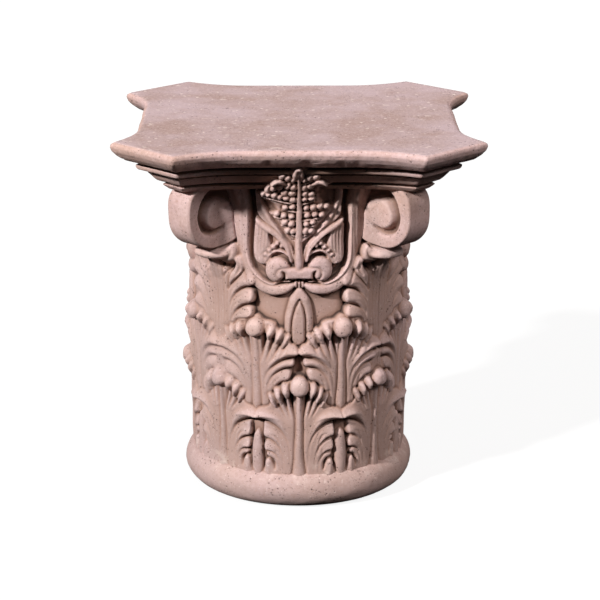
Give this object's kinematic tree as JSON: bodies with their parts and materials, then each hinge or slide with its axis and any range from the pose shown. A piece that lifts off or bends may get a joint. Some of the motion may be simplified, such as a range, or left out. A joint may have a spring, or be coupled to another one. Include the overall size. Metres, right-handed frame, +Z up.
{
  "type": "corinthian capital",
  "caption": "Round column capital with tiers of acanthus leaves, corner volutes, a berry palmette on each face and a moulded abacus with hollow sides.",
  "frame": {"origin": "middle of the underside of the round foot", "axes": "+Z up along the column axis, -Y out of the middle of one carved face, which is the front"},
  "size_m": [0.407, 0.407, 0.425],
  "materials": {
    "terracotta": "matt unglazed fired clay, pale pinkish tan, with casting pits and fine grain"
  },
  "bodies": {
    "root": {"capital": "terracotta"}
  },
  "joints": []
}
